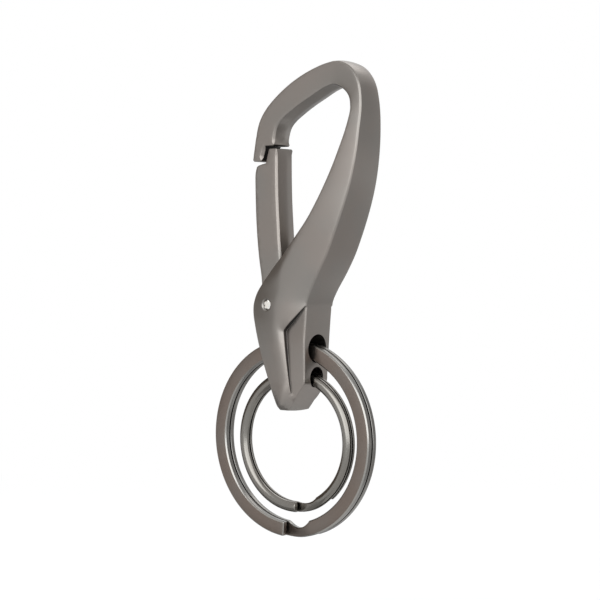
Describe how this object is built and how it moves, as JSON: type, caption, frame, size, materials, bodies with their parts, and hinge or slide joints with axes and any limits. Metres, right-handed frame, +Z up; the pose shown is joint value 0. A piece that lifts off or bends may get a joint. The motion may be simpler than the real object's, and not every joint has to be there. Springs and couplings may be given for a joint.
{
  "type": "belt key clip",
  "caption": "Cast belt key clip: hook with a sprung gate on a pin, crowned blade, forked tail and a large and a small split ring through its holes.",
  "frame": {"origin": "the seat at the inner top of the hook, on its middle plane, where the belt loop or strap lies", "axes": "+Z up along the clip as it hangs, +X from the gate towards the spine, +Y through the thickness, away from the viewer of the front"},
  "size_m": [0.035, 0.0094, 0.0834],
  "materials": {
    "casting": "satin gunmetal plating on a zinc alloy casting",
    "ring_steel": "satin gunmetal plating on steel wire",
    "pin_steel": "bright bare steel",
    "spring_steel": "drawn spring wire"
  },
  "bodies": {
    "clip": {"clip_body": "casting", "pivot_pin": "pin_steel", "gate_spring": "spring_steel"},
    "gate": {"gate": "casting"},
    "large_ring": {"large_ring": "ring_steel"},
    "small_ring": {"small_ring": "ring_steel"}
  },
  "joints": [
    {"name": "gate_hinge", "type": "hinge", "parent": "clip", "child": "gate", "pos_m": [-0.01341, 0, -0.03776], "axis": [0, 1, 0], "range_deg": [0, 24], "stiffness_Nm_per_rad": 0.06, "springref_deg": -28.65, "deforming": ["gate_spring"]},
    {"name": "large_ring_swing", "type": "hinge", "parent": "clip", "child": "large_ring", "pos_m": [-0.01073, 0, -0.04544], "axis": [1, 0, 0], "range_deg": [-135, 135]},
    {"name": "small_ring_swing", "type": "hinge", "parent": "clip", "child": "small_ring", "pos_m": [-0.01008, 0, -0.05049], "axis": [1, 0, 0], "range_deg": [-110, 110]}
  ]
}
